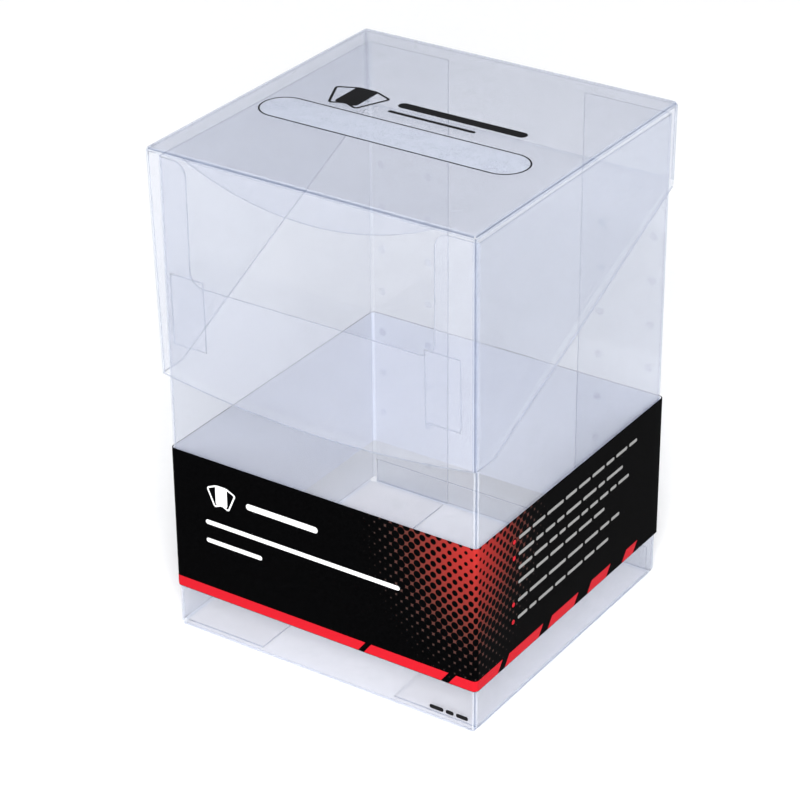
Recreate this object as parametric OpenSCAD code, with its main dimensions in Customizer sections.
// Clear flip-lid box for graded card slabs, with a printed belly band.
//
// The box is folded from thin clear sheet. Each flat panel between two folds is a node of its own,
// and so is each set of folds. Front is -Y and up is +Z. The origin is on the table, at the middle
// of the closed box. Every sub-part on the left is its partner on the right, mirrored.

/* [Body] */
// Outside width of the body, side to side
body_w = 94; // [88:0.5:120]
// Outside depth of the body, front to back
body_d = 93.5; // [80:0.5:110]
// Height of the side walls above the table
wall_h = 137.5; // [130:0.5:138]
// Thickness of the clear sheet
sheet_t = 0.5; // [0.4:0.05:0.6]
// Outside radius of a fold
fold_r = 1; // [0.8:0.1:1.2]

/* [Thumb notch] */
// Width of the notch in the front wall
notch_w = 73; // [40:1:76]
// Sideways place of the middle of the notch
notch_x = -2; // [-3:0.5:3]
// Height of the lower edge of the notch above the table
notch_z = 104; // [90:1:115]
// Radius of the lower corners of the notch
notch_r = 4; // [2:0.5:8]
// Radius at the top of the ear on each side of the notch
ear_r = 4; // [2:0.5:6]

/* [Back seam] */
// Width of the flaps that fold from the side walls onto the back wall
seam_flap_w = 26; // [22:1:40]
// Height of the lowest row of welds above the table
weld_z = 11; // [10:1:20]
// Distance from one row of welds to the next
weld_pitch = 13; // [10:1:14]
// Number of rows of welds in each seam
weld_rows = 8; // [4:1:8]
// Distance from the side of the body to the outer column of welds
weld_edge = 4; // [3.5:0.5:6]
// Distance between the two columns of welds
weld_gap = 15.5; // [10:0.5:16]
// Diameter of one weld
weld_d = 2.4; // [1.5:0.1:3]

/* [Floor] */
// Width of the dust flaps above the floor panel
dust_flap_w = 26; // [15:1:40]
// Height of the tuck flap that stands inside the back wall
tuck_h = 7; // [5:1:8]

/* [Lid] */
// Height of the closed box
box_h = 141; // [141:0.5:150]
// Height of the hinge fold of the lid above the table
hinge_z = 119; // [117:0.5:122]
// Space between the front wall and the front flap, at the top
front_gap = 2.7; // [2.6:0.1:4]
// Space between a side wall and the wing beside it, at the top
side_gap = 0.8; // [0.8:0.1:1.5]
// Inward lean of the front flap, in degrees
flap_lean = 1.2; // [0:0.1:1.2]
// Inward lean of the wings, in degrees
wing_lean = 0.5; // [0:0.1:0.5]
// Height of the lower edge of the front flap at its corners
flap_z = 77.5; // [70:0.5:84]
// How far the lower edge of the front flap bows down in its middle
flap_bow = 3.8; // [1:0.1:6]
// Distance from the front over which the lower edge of a wing stays level
wing_level = 10; // [5:1:20]
// Height of the lower edge of a wing at the back
wing_back_z = 117.5; // [110:0.5:118]

/* [Lid details] */
// Width of the glue tabs behind the front flap
tab_w = 10.3; // [8:0.1:12]
// Height of the glue tabs
tab_h = 20; // [12:1:20]
// Height of the lower edge of the glue tabs above the table
tab_z = 87; // [86:1:88]
// Distance from the middle of the lid to the inner edge of a glue tab
tab_x = 33; // [25:0.5:34]
// Width of the lock tongue behind the top of the front flap
tongue_w = 74; // [30:1:80]
// Depth of the lock tongue in its middle
tongue_drop = 8.5; // [4:0.5:12]
// Length of the write-on strip
strip_l = 79; // [40:1:84]
// Width of the write-on strip
strip_w = 13.5; // [8:0.5:20]
// Sideways place of the middle of the write-on strip
strip_x = -1; // [-5:0.5:5]
// Distance from the front edge of the lid to the middle of the write-on strip
strip_y = 39; // [20:1:60]

/* [Belly band] */
// Height of the lower edge of the band above the table
band_z = 13; // [5:0.5:14]
// Height of the band
band_h = 42; // [20:1:42]
// Thickness of the band
band_t = 0.3; // [0.2:0.05:0.4]
// Width of the glued lap where the ends of the band meet
lap_w = 14; // [8:1:25]

/* [Hidden] */

$fn = 64;
slack = 0.02;         // keeps neighbouring panels from sharing any space
edge_gap = 2 * slack; // the same, beside the folds of the lid's leaning corners
bead_r = 0.3;         // radius of the bead along the hinge fold
weld_t = 0.2;         // how far a weld stands out of the sheet
strip_t = 0.1;        // thickness of the write-on strip
band_clear = 0.1;     // space between the band and the body

clear_sheet = [0.80, 0.84, 0.90, 0.45];
clear_fold = [0.62, 0.68, 0.78, 0.7];
frosted = [0.92, 0.93, 0.95, 0.8];
band_black = [0.05, 0.05, 0.06];

// The lid reaches past the body at the front and the band reaches past it at the back.
front_over = front_gap + sheet_t;
back_over = band_clear + 2 * band_t + slack;
box_d = body_d + front_over + back_over;

lid_y = -box_d / 2;                          // outside of the front flap, at the top
front_y = lid_y + front_over;                // outside of the front wall
back_y = front_y + body_d;                   // outside of the back wall, where the hinge axis runs
seam_y = back_y - sheet_t - slack;           // outside of the seam flaps
tuck_y = seam_y - sheet_t - weld_t - slack;  // outside of the tuck flap
side_x = body_w / 2;                         // outside of a side wall
lid_x = side_x + side_gap + sheet_t;         // outside of a wing, at the top
lid_z = box_h - fold_r;                      // where the folds round the top of the lid end
dust_z = sheet_t + slack;                    // underside of the dust flaps
side_z = dust_z + fold_r;                    // lower edge of the side walls

// ---- Shapes that repeat ------------------------------------------------------------------------

// Draws the right-hand sub-part on the right, or mirrored on the left.
module on_right() { children(); }
module on_left() { mirror([1, 0, 0]) children(); }

// Stands an outline up across the box: its X stays X, its Y becomes Z, and it is t thick from y on.
module across(y, t) {
    translate([0, y + t, 0]) rotate([90, 0, 0]) linear_extrude(t) children();
}

// Stands an outline up along the box: its X becomes Y, its Y becomes Z, and it is t thick from x on.
module along(x, t) {
    translate([x, 0, 0]) rotate([90, 0, 90]) linear_extrude(t) children();
}

// Leans the lid's panels inwards, about a point on the outside of their top edge.
module lean(point, about_x, about_y) {
    translate(point) rotate([about_x, about_y, 0]) translate(-point) children();
}

// A bent strip of sheet, l long in +Z, that rounds the corner towards +X and +Y.
module fold(l, r = fold_r, t = sheet_t) {
    linear_extrude(l) intersection() {
        difference() {
            circle(r);
            circle(r - t);
        }
        square(r);
    }
}

// A fold that runs along X for length l on both sides of the middle, at y and z.
// It rounds the corner towards dir_y and dir_z, which are 1 or -1.
module fold_across(l, y, z, dir_y, dir_z) {
    translate([-l / 2, y, z])
        mirror([0, dir_y > 0 ? 0 : 1, 0])
        mirror([0, 0, dir_z > 0 ? 0 : 1])
        rotate([90, 0, 90]) fold(l);
}

// A fold that runs along Y from y0 to y1, at x and z. It rounds the corner towards +X and dir_z.
module fold_along(y0, y1, x, z, dir_z) {
    translate([x, y1, z])
        mirror([0, 0, dir_z > 0 ? 0 : 1])
        rotate([90, 0, 0]) fold(y1 - y0);
}

// ---- Body --------------------------------------------------------------------------------------

// What is cut away from the front wall: a notch with round lower corners and round shoulders.
module notch_outline() {
    top = wall_h + 1;
    difference() {
        translate([notch_x - notch_w / 2 - ear_r, notch_z])
            square([notch_w + 2 * ear_r, top - notch_z]);
        for (side = [-1, 1]) translate([notch_x, 0]) scale([side, 1]) {
            translate([notch_w / 2, notch_z]) square([ear_r, wall_h - ear_r - notch_z]);
            translate([notch_w / 2 + ear_r, wall_h - ear_r]) circle(ear_r);
            translate([notch_w / 2 - notch_r, notch_z + notch_r]) difference() {
                translate([0, -notch_r]) square(notch_r);
                circle(notch_r);
            }
        }
    }
}

module front_wall() {
    color(clear_sheet) across(front_y, sheet_t) difference() {
        translate([-side_x + fold_r, fold_r]) square([body_w - 2 * fold_r, wall_h - fold_r]);
        notch_outline();
    }
}

module back_wall() {
    color(clear_sheet) translate([-side_x + fold_r, back_y - sheet_t, 0])
        cube([body_w - 2 * fold_r, sheet_t, hinge_z - bead_r - slack]);
}

module side_wall() {
    color(clear_sheet) translate([side_x - sheet_t, front_y + fold_r, side_z])
        cube([sheet_t, seam_y - front_y - 2 * fold_r, wall_h - side_z]);
}

module left_wall() { on_left() side_wall(); }
module right_wall() { on_right() side_wall(); }

module body_corner_folds() {
    color(clear_fold) for (side = [0, 1]) mirror([side, 0, 0]) {
        translate([side_x - fold_r, front_y + fold_r, side_z])
            mirror([0, 1, 0]) fold(wall_h - side_z);
        translate([side_x - fold_r, seam_y - fold_r, side_z]) fold(wall_h - side_z);
    }
}

module seam_flap() {
    color(clear_sheet) translate([side_x - seam_flap_w, seam_y - sheet_t, 0])
        cube([seam_flap_w - fold_r, sheet_t, wall_h]);
}

module left_seam_flap() { on_left() seam_flap(); }
module right_seam_flap() { on_right() seam_flap(); }

// Two columns of flat buttons, where the seam flap is welded to the back wall.
module seam_welds() {
    color(clear_fold) for (row = [0:weld_rows - 1], column = [0, 1])
        translate([
            side_x - weld_edge - column * weld_gap,
            seam_y - sheet_t,
            weld_z + row * weld_pitch
        ])
        rotate([90, 0, 0]) cylinder(d = weld_d, h = weld_t);
}

module left_seam_welds() { on_left() seam_welds(); }
module right_seam_welds() { on_right() seam_welds(); }

// ---- Floor -------------------------------------------------------------------------------------

module floor_panel() {
    color(clear_sheet) translate([-side_x + fold_r, front_y + fold_r, 0])
        cube([body_w - 2 * fold_r, tuck_y - front_y - 2 * fold_r, sheet_t]);
}

module floor_tuck_flap() {
    color(clear_sheet) translate([-side_x + 2 * fold_r, tuck_y - sheet_t, fold_r])
        cube([body_w - 4 * fold_r, sheet_t, tuck_h]);
}

module dust_flap() {
    color(clear_sheet) translate([side_x - dust_flap_w, front_y + 2 * fold_r, dust_z])
        cube([dust_flap_w - fold_r, tuck_y - front_y - 4 * fold_r, sheet_t]);
}

module left_dust_flap() { on_left() dust_flap(); }
module right_dust_flap() { on_right() dust_flap(); }

// The floor panel folds down from the front wall and up into the tuck flap, and the dust flaps
// fold in from the side walls above it.
module floor_folds() {
    color(clear_fold) {
        fold_across(body_w - 2 * fold_r, front_y + fold_r, fold_r, -1, -1);
        fold_across(body_w - 4 * fold_r, tuck_y - fold_r, fold_r, 1, -1);
        for (side = [0, 1]) mirror([side, 0, 0]) fold_along(
            front_y + 2 * fold_r, tuck_y - 2 * fold_r, side_x - fold_r, side_z, -1
        );
    }
}

// ---- Lid ---------------------------------------------------------------------------------------

// The score that the lid turns on, which the back wall keeps.
module hinge_fold() {
    color(clear_fold) translate([-side_x + fold_r, back_y, hinge_z])
        rotate([0, 90, 0]) cylinder(r = bead_r, h = body_w - 2 * fold_r);
}

// The write-on strip seen from above, w wide, with round ends.
module strip_outline(w) {
    end_x = (strip_l - strip_w) / 2;
    translate([strip_x, lid_y + strip_y]) {
        square([2 * end_x, w], center = true);
        for (x = [-end_x, end_x]) translate([x, 0]) circle(d = w);
    }
}

// The strip lies in a shallow recess, so things stacked on the lid rest on the sheet.
module lid_top() {
    color(clear_sheet) difference() {
        translate([-lid_x + fold_r, lid_y + fold_r, box_h - sheet_t])
            cube([2 * (lid_x - fold_r), back_y - lid_y - 2 * fold_r, sheet_t]);
        translate([0, 0, box_h - strip_t])
            linear_extrude(sheet_t) strip_outline(strip_w + 2 * slack);
    }
}

// The front flap narrows downwards with the lean of the wings, and ends in a shallow arc.
module flap_outline() {
    drop = lid_z - flap_z;
    top_x = lid_x - fold_r - edge_gap;
    low_x = top_x - (drop + flap_bow) * tan(wing_lean);
    bow_r = (low_x * low_x + flap_bow * flap_bow) / (2 * flap_bow);
    intersection() {
        polygon([
            [-top_x, lid_z - slack], [top_x, lid_z - slack],
            [low_x, flap_z - flap_bow], [-low_x, flap_z - flap_bow]
        ]);
        translate([0, flap_z - flap_bow + bow_r]) circle(bow_r, $fn = 512);
    }
}

module lid_front_flap() {
    color(clear_sheet) lean([0, lid_y, lid_z], flap_lean, 0)
        across(lid_y, sheet_t) flap_outline();
}

// The back panel narrows downwards too, as far as the folds of the lid's rear corners.
module lid_back_panel() {
    foot_z = hinge_z + bead_r + slack;
    top_x = lid_x - fold_r - edge_gap;
    low_x = top_x - (lid_z - foot_z) * tan(wing_lean);
    color(clear_sheet) across(back_y - sheet_t, sheet_t) polygon([
        [-top_x, lid_z], [top_x, lid_z], [low_x, foot_z], [-low_x, foot_z]
    ]);
}

module wing() {
    front_top = lid_y + fold_r + edge_gap;
    front_low = front_top + (lid_z - flap_z) * tan(flap_lean);
    back = back_y - fold_r - edge_gap;
    color(clear_sheet) lean([lid_x, 0, lid_z], 0, wing_lean)
        along(lid_x - sheet_t, sheet_t) polygon([
            [front_top, lid_z - slack], [front_low, flap_z], [lid_y + wing_level, flap_z],
            [back, wing_back_z], [back, lid_z - slack]
        ]);
}

module lid_left_wing() { on_left() wing(); }
module lid_right_wing() { on_right() wing(); }

module lid_top_folds() {
    color(clear_fold) {
        fold_across(2 * (lid_x - fold_r), lid_y + fold_r, lid_z, -1, 1);
        fold_across(2 * (lid_x - fold_r), back_y - fold_r, lid_z, 1, 1);
        for (side = [0, 1]) mirror([side, 0, 0])
            fold_along(lid_y + fold_r, back_y - fold_r, lid_x - fold_r, lid_z, 1);
    }
}

module lid_corner_folds() {
    foot_z = hinge_z + bead_r + slack;
    color(clear_fold) for (side = [0, 1]) mirror([side, 0, 0]) {
        lean([lid_x, lid_y, lid_z], flap_lean, wing_lean)
            translate([lid_x - fold_r, lid_y + fold_r, flap_z])
            mirror([0, 1, 0]) fold(lid_z - flap_z - slack);
        lean([lid_x, back_y, lid_z], 0, wing_lean)
            translate([lid_x - fold_r, back_y - fold_r, foot_z])
            fold(lid_z - foot_z - slack);
    }
}

// Glued to the front flap from behind, where the wing's end is held.
module tab() {
    color(clear_sheet) lean([0, lid_y, lid_z], flap_lean, 0)
        translate([tab_x, lid_y + sheet_t + slack, tab_z]) cube([tab_w, sheet_t, tab_h]);
}

module lid_left_tab() { on_left() tab(); }
module lid_right_tab() { on_right() tab(); }

// A crescent that hangs from the top front fold, behind the front flap.
module lid_lock_tongue() {
    arc_r = (tongue_w * tongue_w / 4 + tongue_drop * tongue_drop) / (2 * tongue_drop);
    color(clear_fold) lean([0, lid_y, lid_z], flap_lean, 0)
        across(lid_y + sheet_t + slack, sheet_t) intersection() {
            translate([0, lid_z - tongue_drop + arc_r]) circle(arc_r, $fn = 256);
            translate([-tongue_w / 2, lid_z - tongue_drop]) square([tongue_w, tongue_drop - slack]);
        }
}

module write_on_strip() {
    color(frosted) translate([0, 0, box_h - strip_t])
        linear_extrude(strip_t) strip_outline(strip_w);
}

// ---- Belly band --------------------------------------------------------------------------------

module band_front() {
    color(band_black) translate([-side_x + fold_r, front_y - band_clear - band_t, band_z])
        cube([body_w - 2 * fold_r, band_t, band_h]);
}

module band_back() {
    color(band_black) translate([-side_x + fold_r, back_y + band_clear, band_z])
        cube([body_w - 2 * fold_r, band_t, band_h]);
}

module band_side() {
    color(band_black) translate([side_x + band_clear, front_y + fold_r, band_z])
        cube([band_t, body_d - 2 * fold_r, band_h]);
}

module band_left() { on_left() band_side(); }
module band_right() { on_right() band_side(); }

module band_folds() {
    color(band_black) for (side = [0, 1], end = [0, 1]) mirror([side, 0, 0])
        translate([side_x - fold_r, end == 0 ? front_y + fold_r : back_y - fold_r, band_z])
        mirror([0, 1 - end, 0])
        fold(band_h, r = fold_r + band_clear + band_t, t = band_t);
}

module band_glue_lap() {
    color(band_black) translate([-lap_w / 2, back_y + band_clear + band_t + slack, band_z])
        cube([lap_w, band_t, band_h]);
}

// ---- Nodes -------------------------------------------------------------------------------------

front_wall();
back_wall();
left_wall();
right_wall();
body_corner_folds();
left_seam_flap();
right_seam_flap();
left_seam_welds();
right_seam_welds();
floor_panel();
floor_tuck_flap();
left_dust_flap();
right_dust_flap();
floor_folds();
hinge_fold();
lid_top();
lid_front_flap();
lid_back_panel();
lid_left_wing();
lid_right_wing();
lid_top_folds();
lid_corner_folds();
lid_left_tab();
lid_right_tab();
lid_lock_tongue();
write_on_strip();
band_front();
band_back();
band_left();
band_right();
band_folds();
band_glue_lap();
